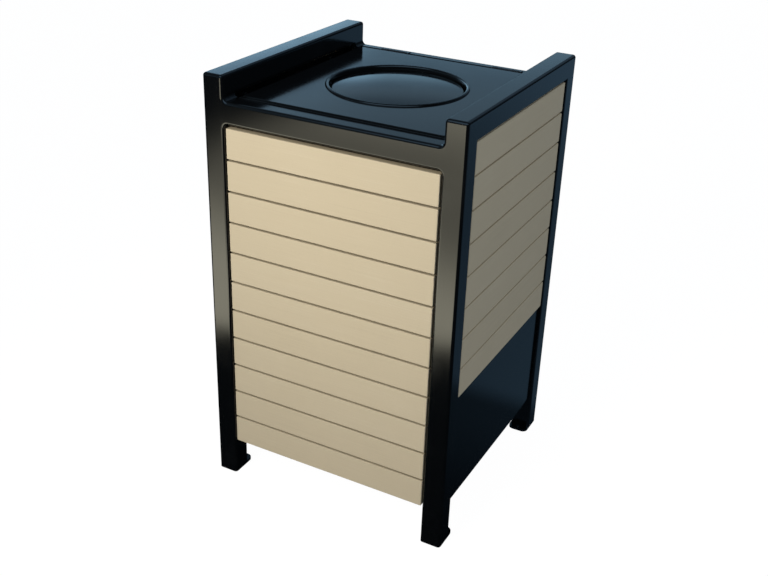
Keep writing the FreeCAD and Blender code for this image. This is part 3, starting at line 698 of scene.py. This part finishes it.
@dataclass
class TubeFrame:
    """Posts, rails and welds of square tube."""

    corner: float = 0.007
    steps: int = 8
    weld_leg: float = 0.010
    ripple: float = 0.0003
    ripple_pitch: float = 0.0046
    weld_edge_rings: int = 11
    weld_run_rings: int = 57
    weld_points: int = 9
    coat: PowderCoat = FRAME_COAT

    def crown(self, start: float, stop: float) -> tuple[np.ndarray, np.ndarray]:
        """Shrink and drop of the crown's rings between two angles.

        At angle t the outline has shrunk by corner times (1 - cos t) and lies corner times
        (1 - sin t) below the top.

        Args:
            start: The first ring's angle, in radians.
            stop: The last ring's angle.

        Returns:
            Each ring's shrink and its drop below the top.
        """
        turn = np.linspace(start, stop, self.steps + 1)
        return self.corner * (1.0 - np.cos(turn)), self.corner * (1.0 - np.sin(turn))

    def post_rings(
        self, low: np.ndarray, high: np.ndarray, shrink: np.ndarray, end: Ends
    ) -> np.ndarray:
        """Rings of a post, which shrink on the three sides where no rail meets it.

        The two outer corners shrink like a ball's. The two corners at the rail keep their radius
        and are clipped in X, as the rail's own rounded top is.

        Args:
            low: The post's lowest corner.
            high: Its highest corner.
            shrink: What each ring shrinks by.
            end: The end of the bin that the post stands at.

        Returns:
            Points by ring and place, x and y.
        """
        outer = np.array([0, 0, 1, 1]) if end is Ends.FRONT else np.array([1, 1, 0, 0])
        rings = corner_rings(low[:2], high[:2], self.corner, shrink[:, None] * outer, self.steps)
        rings[..., 0] = np.clip(
            rings[..., 0], low[0] + shrink[:, None], high[0] - shrink[:, None]
        )
        return rings

    def build_posts(self) -> None:
        """Four posts, and the four caps that finish their rounded tops as one piece."""
        caps = []
        top = node_box("post_caps")[1][2]
        for end in Ends:
            for side in Sides:
                node = f"post_{end.name}_{side.name}".lower()
                low, high = node_box(node)
                seam = math.asin(1.0 - (top - high[2]) / self.corner)
                shrink, drop = self.crown(0.0, seam)
                height = np.concatenate([[low[2]], top - drop])
                rings = self.post_rings(low, high, np.concatenate([[0.0], shrink]), end)
                post = stacked(rings, height[:, None], Axis.Z)
                fit_piece(post, f"dressed_{node}", Body.FRAME, self.coat, [node])
                shrink, drop = self.crown(seam, QUARTER)
                rings = self.post_rings(low, high, shrink, end)
                caps.append(stacked(rings, (top - drop)[:, None], Axis.Z))
        fit_piece(Surface.joined(caps), "dressed_caps", Body.FRAME, self.coat, ["post_caps"])

    def build_rail(self, node: str, axis: Axis) -> None:
        """One rail whose ends are coped round the posts' rounded corners.

        A point that lies d inside the rail's upright face reaches corner minus the root of
        (corner squared minus (corner - d) squared) past the post's face.

        Args:
            node: The rail's CAD node.
            axis: The direction that it runs in.
        """
        low, high = node_box(node)
        across = axis.across
        none = np.zeros((1, 4))
        ring = corner_rings(low[across], high[across], self.corner, none, self.steps)
        level = 1 - axis.value
        sideways = ring[..., across.index(level)]
        inside = np.minimum(sideways - low[level], high[level] - sideways)
        short = np.maximum(self.corner - inside, 0.0)
        reach = self.corner - np.sqrt(np.maximum(self.corner**2 - short**2, 0.0))
        run = axis.value
        along = np.vstack([low[run] + self.corner - reach, high[run] - self.corner + reach])
        rail = stacked(np.repeat(ring, 2, 0), along, axis)
        fit_piece(rail, f"dressed_{node}", Body.FRAME, self.coat, [node])

    def weld(self, side: Sides, end: Ends, upward: int) -> Surface:
        """One concave weld between a post's inner face and a cross rail.

        Across, it is a quarter circle hollowed out of the corner about a centre one leg out along
        both tubes. Towards the bin's outer face the circle widens by corner minus the root of
        (corner squared minus (corner - s) squared) at the depth s, as the tubes' edges round off.
        Ripples along it are a cosine of the depth.

        Args:
            side: The side of the bin.
            end: The end of the bin.
            upward: 1 for the weld on the rail, -1 for the one below it.

        Returns:
            The closed surface.
        """
        rail_low, rail_high = node_box(f"cross_rail_{end.name}".lower())
        post_low, post_high = node_box(f"post_{end.name}_{side.name}".lower())
        face = post_high[0] if side is Sides.LEFT else post_low[0]
        level = rail_high[2] if upward > 0 else rail_low[2]
        width = rail_high[1] - rail_low[1]
        depth = np.concatenate(
            [
                self.corner * (1.0 - np.cos(np.linspace(0.0, QUARTER, self.weld_edge_rings))),
                np.linspace(self.corner, width - self.corner, self.weld_run_rings)[1:],
            ]
        )[:, None]
        short = np.maximum(self.corner - depth, 0.0)
        wider = self.corner - np.sqrt(self.corner**2 - short**2)
        beads = np.minimum(depth / self.corner, 1.0) * self.ripple
        reach = self.weld_leg + wider + beads * np.cos(2.0 * math.pi * depth / self.ripple_pitch)
        turn = np.linspace(0.0, QUARTER, self.weld_points)
        x = np.hstack([self.weld_leg - reach * np.sin(turn), -wider])
        z = np.hstack([self.weld_leg - reach * np.cos(turn), -wider])
        outer = rail_low[1] if end is Ends.FRONT else rail_high[1]
        y = np.broadcast_to(outer - end.value * depth, x.shape)
        grid = np.stack([face - side.value * x, y, level + upward * z], -1)
        return Surface.from_grid(grid, capped=True)

    def build(self) -> None:
        """Make every piece of the tube frame."""
        self.build_posts()
        for side in Sides:
            self.build_rail(f"side_rail_{side.name}".lower(), Axis.Y)
        for end in Ends:
            self.build_rail(f"cross_rail_{end.name}".lower(), Axis.X)
        welds = [self.weld(s, e, up) for e in Ends for s in Sides for up in (1, -1)]
        fit_piece(Surface.joined(welds), "dressed_welds", Body.FRAME, self.coat, ["weld_fillets"])


@dataclass
class PlankWalls:
    """Plank walls on all four sides, and the sheets behind the side planks."""

    rows_front: int = 11
    rows_side: int = 8
    edge: float = 0.0024
    shave: float = 0.0014
    # How dark the painted shade in the plank joints is.
    joint_shade: float = 0.37
    steps: int = 5
    sheet: float = 0.0018
    sheet_bend: float = 0.004
    sheet_steps: int = 41
    skirt_gap: float = 0.004
    dent: float = 0.00025

    def finish(self, axis: Axis, names: Sequence[str], joint_shade: float) -> PlankFinish:
        """The planks' finish, with streaks along the run and rows counted from the lowest.

        Args:
            axis: Direction in which the planks run.
            names: Nodes of the planks, the lowest first.
            joint_shade: How dark the painted shade in the joints is, from 0 to 1.

        Returns:
            The finish of one wall.
        """
        first, second = node_box(names[0]), node_box(names[1])
        pitch = second[0][2] - first[0][2]
        base = (first[0][2] + first[1][2] - pitch) / 2.0
        name = f"plank_along_{axis.name.lower()}"
        return PlankFinish(name, Slot.PLANK, SAND, axis, float(base), float(pitch), joint_shade)

    def board(self, low: np.ndarray, high: np.ndarray, axis: Axis) -> Surface:
        """One plank, shaved a little at the joints above and below it and at its ends."""
        shave = self.shave * np.array([axis is Axis.X, axis is Axis.Y, 1.0])
        return rounded_bar(low + shave, high - shave, axis, self.edge, self.steps)

    @staticmethod
    def names(wall: str, rows: int) -> list[str]:
        """Nodes of a wall's planks, the lowest first."""
        return [f"{wall}_plank_{row:02d}" for row in range(1, rows + 1)]

    def build_wall(self, names: Sequence[str], axis: Axis, joint_shade: float) -> None:
        """Planks of one wall, each a piece of its own.

        Args:
            names: Nodes of the planks, the lowest first.
            axis: Direction in which they run.
            joint_shade: How dark the painted shade in the joints is, from 0 to 1.
        """
        finish = self.finish(axis, names, joint_shade)
        for node in names:
            board = self.board(*node_box(node), axis)
            fit_piece(board, f"dressed_{node}", Body.FRAME, finish, [node])

    def build_rear(self, names: Sequence[str]) -> None:
        """The rear wall's planks as one piece.

        Args:
            names: Nodes of the front planks, whose rows it takes.
        """
        rear_low, rear_high = node_box("rear_planks")
        finish = self.finish(Axis.X, names, self.joint_shade)
        boards = []
        for node in names:
            low, high = node_box(node)
            low[1], high[1] = rear_low[1], rear_high[1]
            boards.append(self.board(low, high, Axis.X))
        wall = Surface.joined(boards)
        fit_piece(wall, "dressed_rear_planks", Body.FRAME, finish, ["rear_planks"])

    def build_sheet(self, side: Sides) -> None:
        """One side sheet: a skirt below the planks that steps in to the backing behind them.

        The profile goes up the skirt, round a bend, in along a shelf and up the backing. The skirt
        sinks by dent times sin(pi u) times sin(pi v) times a slow wave, which is 0.7 plus 0.3 times
        cos(5 u + 1) times cos(4 v). Here u runs across the sheet and v up the skirt, from 0 to 1.

        Args:
            side: The side of the bin.
        """
        node = f"side_sheet_{side.name}".lower()
        low, high = node_box(node)
        plank = node_box(f"{side.name}_plank_01".lower())
        face, back = (high[0], plank[0][0]) if side is Sides.RIGHT else (low[0], plank[1][0])
        step, head, bend = abs(face - back), plank[0][2] - self.skirt_gap, self.sheet_bend
        rise = np.linspace(low[2], head - bend, self.sheet_steps)
        profile = np.vstack(
            [
                np.stack([np.zeros_like(rise), rise], -1),
                arc((bend, head - bend), bend, 180.0, 90.0, 8),
                arc((step - bend, head + bend), bend, 270.0, 360.0, 8),
                [[step, high[2]]],
            ]
        )
        across = np.linspace(0.0, 1.0, self.sheet_steps)
        u = across if side is Sides.RIGHT else across[::-1]
        v = np.minimum((profile[:, 1:] - low[2]) / (head - low[2]), 1.0)
        wave = 0.7 + 0.3 * np.cos(5.0 * u + 1.0) * np.cos(4.0 * v)
        sunk = self.dent * np.sin(math.pi * u) * np.sin(math.pi * v) * wave
        x = face - side.value * (profile[:, :1] + sunk)
        y = np.broadcast_to(low[1] + (high[1] - low[1]) * u, x.shape)
        z = np.broadcast_to(profile[:, 1:], x.shape)
        surface = Surface.from_grid(np.stack([x, y, z], -1), loop_columns=False)
        fit_piece(surface, f"dressed_{node}", Body.FRAME, SHEET_COAT, [node], self.sheet)

    def build(self) -> None:
        """Make every plank and sheet."""
        front = self.names("front", self.rows_front)
        self.build_wall(front, Axis.X, self.joint_shade)
        self.build_rear(front)
        for side in Sides:
            # The side walls get no painted shade in their joints.
            self.build_wall(self.names(side.name.lower(), self.rows_side), Axis.Y, 0.0)
            self.build_sheet(side)


@dataclass
class Lid:
    """The hinged lid with its rolled mouth, and the disc that swings in it."""

    sheet: float = 0.0015
    hem: float = 0.003
    edge: float = 0.0008
    ledge: float = 0.0055
    rear_ledge: float = 0.0098
    step: float = 0.0028
    lip: float = 0.0014
    mouth: float = 0.152
    bend: float = 0.0055
    bead: float = 0.0042
    bead_radius: float = 0.0052
    hinge_x: float = 0.150
    hinge_half: float = 0.0353
    disc_bend: float = 0.004
    disc_crown: float = 0.003
    disc_eye: float = 0.004
    disc_rings: int = 14
    turns: int = 256
    coat: PowderCoat = LID_COAT

    def angles(self, half: np.ndarray) -> np.ndarray:
        """Even angles round the mouth, with those of the corners and the hinge notches added.

        Args:
            half: Half the lid's width and depth.

        Returns:
            The angles in radians, each once, in order.
        """
        even = np.linspace(-math.pi, math.pi, self.turns, endpoint=False)
        corners = np.arctan2(half[1], half[0]) * np.array([1.0, -1.0])
        corners = np.concatenate([corners, math.pi - corners])
        notch = np.add.outer([-self.hinge_x, self.hinge_x], [-self.hinge_half, self.hinge_half])
        notch = np.concatenate([notch.ravel() - HAIR, notch.ravel() + HAIR])
        every = np.concatenate([even, corners, np.arctan2(half[1], notch)])
        return np.unique(np.round((every + math.pi) % (2.0 * math.pi) - math.pi, 9))

    def build_panel(self) -> None:
        """The lid's sheet as one closed loop of rings about the mouth.

        Inner rings are circles, the first of them up the lip and over a rolled bead. Outer rings
        are rectangles, met by each angle's ray where it leaves the rectangle: the smaller of half
        width over cosine and half depth over sine. At the rear the ledge is wider and ends in a
        thin lip that rises by one step, which leaves a groove along the hinges.
        """
        low, high = node_box("lid_panel")
        centre, half = (low[:2] + high[:2]) / 2.0, (high[:2] - low[:2]) / 2.0
        top = high[2]
        angle = self.angles(half)
        ray = np.stack([np.cos(angle), np.sin(angle)], -1)
        crest = (self.mouth + self.bead_radius, top + self.bead - self.bead_radius)
        foot = math.degrees(math.asin(1.0 - self.bead / self.bead_radius))
        bead = arc(crest, self.bead_radius, 180.0, foot, 16)
        outside = np.vstack([[[self.mouth, low[2]]], bead])
        hub = (self.mouth + self.bend, top - self.bend)
        inside = arc(hub, self.bend - self.sheet, 90.0, 180.0, 8)
        inside = np.vstack([inside, [[self.mouth + self.sheet, low[2]]]])
        rim = self.rim(top, node_box("cross_rail_front")[1][2])
        circles = [self.circle(ray, profile) for profile in (outside, inside)]
        reach = (half - rim[:, :1])[:, None, :] / np.maximum(np.abs(ray), NEARLY_ZERO)
        square = np.concatenate(
            [ray * reach.min(-1)[..., None], np.repeat(rim[:, 1:, None], len(ray), 1)], -1
        )
        wider = np.where(rim[:, 0] >= self.ledge, self.rear_ledge - self.ledge, 0.0)
        rear = (half[1] - rim[:, 0] - wider)[:, None]
        square[..., 1] = np.minimum(square[..., 1], rear)
        off_hinge = np.abs(np.abs(square[..., 0]) - self.hinge_x)
        notched = (off_hinge < self.hinge_half) & (square[..., 1] > half[1] - 2.0 * self.rear_ledge)
        floor = top - self.step - self.edge
        square[..., 2] = np.where(notched, np.maximum(square[..., 2], floor), square[..., 2])
        at_lip = (square[..., 1] > half[1] - self.lip) & (square[..., 2] >= floor)
        square[..., 2] += np.where(at_lip & ~notched, self.step, 0.0)
        grid = np.concatenate([circles[0], square, circles[1]])
        grid[..., :2] += centre
        panel = Surface.from_grid(grid, loop_rows=True)
        fit_piece(panel, "dressed_lid", Body.LID, self.coat, ["lid_panel"])

    def rim(self, top: float, base: float) -> np.ndarray:
        """Profile of the lid's edge: a rounded step down to a ledge, the hem and the inside.

        Args:
            top: Height of the lid's top.
            base: Height of the rail that the hem stands on.

        Returns:
            Distance from the edge and height of each point.
        """
        shelf, under = top - self.step, top - self.sheet
        inner, turn = self.ledge + self.sheet, (self.edge, 90.0, 180.0, 4)
        return np.vstack(
            [
                arc((self.ledge + self.edge, top - self.edge), *turn),
                [[self.ledge, shelf], [self.lip, shelf]],
                arc((self.edge, shelf - self.edge), *turn),
                [[0.0, base], [self.hem, base], [self.hem, shelf - self.sheet]],
                [[inner, shelf - self.sheet], [inner, under]],
            ]
        )

    @staticmethod
    def circle(ray: np.ndarray, profile: np.ndarray) -> np.ndarray:
        """Rings about the mouth: each ray times a radius, at a height."""
        flat = profile[:, None, :1] * ray
        return np.concatenate([flat, np.repeat(profile[:, 1:, None], len(ray), 1)], -1)

    def build_disc(self) -> None:
        """The disc: a pan turned from one profile, with a faint crown and a turned-down edge.

        The crown's height falls with the square of the radius, from the middle to the bend.
        """
        low, high = node_box("swing_disc")
        centre, radius = (low[:2] + high[:2]) / 2.0, (high[0] - low[0]) / 2.0
        flat = radius - self.disc_bend
        reach = np.linspace(self.disc_eye, flat, self.disc_rings)[:-1]
        crown = self.disc_crown * (1.0 - (reach / flat) ** 2)
        hub = (flat, high[2] - self.disc_bend)
        profile = np.vstack(
            [
                np.stack([reach, high[2] + crown], -1),
                arc(hub, self.disc_bend, 90.0, 0.0, 8),
                [[radius, low[2]], [radius - self.sheet, low[2]]],
                arc(hub, self.disc_bend - self.sheet, 0.0, 90.0, 6),
                np.stack([reach, high[2] - self.sheet + crown], -1)[::-1],
            ]
        )
        disc = turned(profile, centre, self.turns // 2, loop=False)
        fit_piece(disc, "dressed_disc", Body.DISC, self.coat, ["swing_disc"])

    def build(self) -> None:
        """Make the lid and the disc."""
        self.build_panel()
        self.build_disc()


@dataclass
class Liner:
    """The round can inside, with a rim turned outwards and down."""

    wall: float = 0.003
    rim_reach: float = 0.008
    taper: float = 0.029
    heel: float = 0.010
    eye: float = 0.010
    lean: float = 0.0006
    rim_drop: float = 0.016
    turns: int = 128

    def build(self) -> None:
        """Turn the can: floor, heel, tapered wall, a rim rolled outwards and down, and the inside.

        Every wall point's radius falls in a straight line from the mouth to the base.
        """
        low, high = node_box("liner")
        centre, rim = (low[:2] + high[:2]) / 2.0, (high[0] - low[0]) / 2.0
        mouth = rim - self.rim_reach
        base = mouth - self.taper
        lip = self.rim_reach / 2.0
        skirt = high[2] - self.rim_drop
        heel = (base - self.heel, low[2] + self.heel)
        thin = self.heel - self.wall
        profile = np.vstack(
            [
                [[self.eye, low[2]]],
                arc(heel, self.heel, 270.0, 360.0, 6),
                [[mouth - self.lean, high[2] - 2.0 * lip]],
                [[rim - self.wall, skirt], [rim, skirt]],
                arc((rim - lip, high[2] - lip), lip, 0.0, 90.0, 6),
                arc((mouth, high[2] - self.wall), self.wall, 90.0, 180.0, 5),
                arc(heel, thin, 360.0, 270.0, 6),
                [[self.eye, low[2] + self.wall]],
            ]
        )
        can = turned(profile, centre, self.turns, loop=False)
        fit_piece(can, "dressed_liner", Body.FRAME, LINER_PLASTIC, ["liner"])


@dataclass
class Hardware:
    """CAD nodes that stay in view: feet, hinges, axle, straps, floor and fasteners."""

    def build(self) -> None:
        """Give each node that no piece stands for the finish of its slot in the record."""
        slots = {row["node"]: row["material_slot"] for row in frame["record"]["subparts"]}
        for node, piece in frame["nodes"].items():
            if piece.hide_render:
                continue
            piece.data.materials.clear()
            piece.data.materials.append(CAD_FINISHES[slots[node]].material())
            LOG.info("node %s: %s", node, slots[node])


# The studio


@dataclass(frozen=True)
class Lamp:
    """A soft rectangular lamp that looks at a point."""

    name: str
    place: Triple
    aim: Triple
    size: tuple[float, float]
    power: float
    colour: Colour
    spread: float = 180.0

    def build(self) -> None:
        """Add the lamp, unseen by the camera and by gloss."""
        data = bpy.data.lights.new(self.name, "AREA")
        data.shape = "RECTANGLE"
        data.size, data.size_y = self.size
        data.energy = self.power
        data.spread = math.radians(self.spread)
        data.color = self.colour
        lamp = bpy.data.objects.new(self.name, data)
        lamp.location = self.place
        turn = (Vector(self.aim) - Vector(self.place)).to_track_quat("-Z", "Y")
        lamp.rotation_euler = turn.to_euler()
        lamp.visible_camera = lamp.visible_glossy = False
        bpy.context.scene.collection.objects.link(lamp)


@dataclass
class Studio:
    """Floor, sky, lamps and camera."""

    floor_half: float = 14.0
    floor_colour: Colour = (0.6, 0.6, 0.6)
    floor_white: float = 0.9
    floor_glow: float = 1.09
    # Colours of the painted sunlit patch and the painted cool shade that gloss sees on the floor.
    floor_warm: Colour = (1.0, 0.95, 0.74)
    floor_cool: Colour = (0.037, 0.070, 0.106)
    hole_rim: float = 1.2
    ambient: Colour = (0.2, 0.235, 0.29)
    white: Colour = (1.0, 1.0, 1.0)
    sky_bands: tuple[tuple[float, Colour], ...] = (
        (0.12, (0.006, 0.008, 0.010)),
        (0.155, (0.52, 0.90, 1.20)),
        (0.20, (0.46, 0.80, 1.06)),
        (0.235, (0.34, 0.59, 0.80)),
        (0.26, (0.17, 0.30, 0.43)),
        (0.30, (0.25, 0.40, 0.53)),
        (0.36, (0.11, 0.18, 0.25)),
        (1.00, (0.05, 0.08, 0.11)),
    )
    sky_right: Colour = (0.09, 0.15, 0.22)
    left_gain: float = 1.2
    left_drop: float = 0.45
    low_left_gain: float = 0.65
    right_drop: float = 0.8
    far_drop: float = 0.88
    front_share: float = 0.2
    glow_gain: float = 4.5
    camera_place: Triple = (1.04549, -2.05510, 1.62724)
    camera_view: Triple = (-0.40924, 0.79217, -0.45277)
    camera_roll: float = 2.031
    camera_lens: float = 49.4436
    camera_sensor: float = 36.0
    lamps: tuple[Lamp, ...] = (
        Lamp("key", (-0.4, -2.1, 1.75), (0.0, -0.3, 0.8), (1.2, 0.8), 9.4, (1.0, 0.97, 0.92), 80.0),
        Lamp("fill", (2.4, -0.6, 1.9), (0.1, 0.0, 0.6), (1.8, 1.8), 11.0, (0.86, 0.93, 1.0)),
    )

    @staticmethod
    def rays(graph: Graph) -> tuple[Wire, Wire]:
        """Wires that are 1 for the camera's rays, and for mirrored or transmitted ones."""
        camera = graph.node("ShaderNodeLightPath", None, None, "Is Camera Ray")
        return camera, camera.other("Is Glossy Ray") + camera.other("Is Transmission Ray")

    def floor_tone(self, graph: Graph) -> Wire:
        """Painted light that gloss sees on the floor: a painted sunlit patch in front, painted cool
        shade behind and a painted shadow at the bin.

        The limits of the fades are metres on the floor.

        Args:
            graph: The floor's graph.

        Returns:
            The tone's colour.
        """
        x = graph.node("ShaderNodeSeparateXYZ", None, {0: graph.place()}, "X")
        y = x.other("Y")
        # Painted sunlit patch in front of the bin.
        patch = graph.fade(y + 0.4 * x, -1.11, -1.26) * graph.fade(x, -2.0, -1.5)
        patch = patch * graph.fade(x - 0.75 * y, -0.45, -0.15) * graph.fade(x, 0.4, 0.1)
        level = 0.75 + 1.4 * graph.fade(y, -2.0, -1.25) + 0.9 * graph.fade(y, -2.6, -3.4)
        cool = (0.3 + 0.7 * graph.fade(y, 0.3, 0.42)) * (1.0 + graph.fade(y, 1.5, 3.9))
        # Painted shadow on the floor near the bin.
        cool = cool * (1.0 - 0.85 * graph.fade(y, 0.3, -0.3))
        warm = graph.scaled(self.floor_warm, patch * level)
        return graph.blend(1.0, warm, graph.scaled(self.floor_cool, cool), "ADD")

    def gloss_sky(self, graph: Graph) -> Wire:
        """What gloss sees of the sky: bands by height, bright at the left, a glow in front.

        The limits of the fades are parts of a unit direction.

        Args:
            graph: The world's graph.

        Returns:
            The sky's colour.
        """
        way = graph.node("ShaderNodeTexCoord", None, None, "Generated")
        x = graph.node("ShaderNodeSeparateXYZ", None, {0: way}, "X")
        y, z = x.other("Y"), x.other("Z")
        rightward, behind = graph.fade(x, -0.25, 0.1), graph.fade(y, 0.0, 0.5)
        low_left = graph.fade(x, -0.45, -0.5) * graph.fade(z, 0.27, 0.25)
        glow = graph.fade(x, -0.6, -0.3) * graph.fade(y, -0.2, -0.4) * graph.fade(z, 0.45, 0.6)
        level = self.left_gain - self.left_drop * graph.fade(x, -0.6, -0.44)
        level = level * (1.0 - self.right_drop * rightward) * (1.0 + self.low_left_gain * low_left)
        level = level * (self.front_share + (1.0 - self.front_share) * behind)
        bands = graph.node("ShaderNodeValToRGB", {"stops": self.sky_bands}, {0: z})
        sky = graph.scaled(bands, level + self.glow_gain * glow)
        far = graph.scaled(self.sky_right, 1.0 - self.far_drop * graph.fade(x, 0.15, 0.4))
        return graph.blend(behind * rightward * graph.fade(z, 0.1, 0.2), sky, far)

    def anchor_holes(self, graph: Graph) -> Wire:
        """Where the floor shows through the anchor holes in the foot plates.

        Args:
            graph: The floor's graph.

        Returns:
            1 within a hole of the record's bolt pattern, and 0 elsewhere.
        """
        mounts = {mount["name"]: mount for mount in frame["record"]["mounts"]}
        sizes = mounts["floor_anchors"]["dims"]
        spacing = [sizes[f"spacing_{axis}_mm"] for axis in "xy"]
        hole = (*(MILLIMETRE * apart / 2.0 for apart in spacing), 0.0)
        place = graph.node("ShaderNodeVectorMath", {"operation": "ABSOLUTE"}, {0: graph.place()})
        pair = {0: place, 1: hole}
        span = graph.node("ShaderNodeVectorMath", {"operation": "DISTANCE"}, pair, "Value")
        radius = MILLIMETRE * sizes["hole_r_mm"]
        return graph.fade(span, self.hole_rim * radius, radius)

    def build_floor(self) -> None:
        """A wide pale floor that the camera sees almost white and that keeps a soft shadow."""
        half = self.floor_half
        x, y = np.meshgrid([-half, half], [-half, half])
        grid = np.stack([x, y, np.zeros_like(x)], -1)
        floor = Surface.from_grid(grid, loop_columns=False).to_object("studio_floor", closed=False)
        made = bpy.data.materials.new("studio_floor")
        graph = Graph.of(made)
        camera, mirrored = self.rays(graph)
        plain = graph.node("ShaderNodeBsdfDiffuse", None, {"Color": (*self.floor_colour, 1.0)})
        white = graph.node("ShaderNodeEmission", None, {"Strength": self.floor_glow})
        toned = graph.node("ShaderNodeEmission", None, {"Color": self.floor_tone(graph)})
        lit = camera * (self.floor_white * (1.0 - self.anchor_holes(graph)))
        seen = graph.node("ShaderNodeMixShader", None, {0: lit, 1: plain, 2: white})
        shown = graph.node("ShaderNodeMixShader", None, {0: mirrored, 1: seen, 2: toned})
        graph.end("ShaderNodeOutputMaterial", shown)
        floor.data.materials.append(made)

    def build_sky(self) -> None:
        """White to the camera, a graded sky to gloss, and an even ambient to everything else."""
        world = bpy.data.worlds.new("studio_sky")
        graph = Graph.of(world)
        camera, mirrored = self.rays(graph)
        tone = graph.blend(mirrored, self.ambient, self.gloss_sky(graph))
        tone = graph.blend(camera, tone, self.white)
        light = graph.node("ShaderNodeBackground", None, {"Color": tone, "Strength": 1.0})
        graph.end("ShaderNodeOutputWorld", light)
        bpy.context.scene.world = world

    def build_camera(self) -> None:
        """A camera where the photograph was taken from."""
        data = bpy.data.cameras.new("camera")
        data.sensor_fit = "HORIZONTAL"
        data.sensor_width = self.camera_sensor
        data.lens = self.camera_lens
        camera = bpy.data.objects.new("camera", data)
        camera.location = self.camera_place
        roll = Quaternion((0.0, 0.0, 1.0), math.radians(self.camera_roll))
        camera.rotation_mode = "QUATERNION"
        camera.rotation_quaternion = Vector(self.camera_view).to_track_quat("-Z", "Y") @ roll
        bpy.context.scene.collection.objects.link(camera)
        bpy.context.scene.camera = camera

    def build(self) -> None:
        """Set the whole studio up."""
        bpy.context.scene.view_settings.view_transform = "Standard"
        self.build_floor()
        self.build_sky()
        self.build_camera()
        for lamp in self.lamps:
            lamp.build()


def main() -> None:
    """Build every sub-assembly in order."""
    logging.basicConfig(level=logging.INFO, format="%(message)s")
    for assembly in (TubeFrame(), PlankWalls(), Lid(), Liner(), Hardware(), Studio()):
        assembly.build()
        LOG.info("%s done", type(assembly).__name__)


if __name__ == "__main__":
    main()
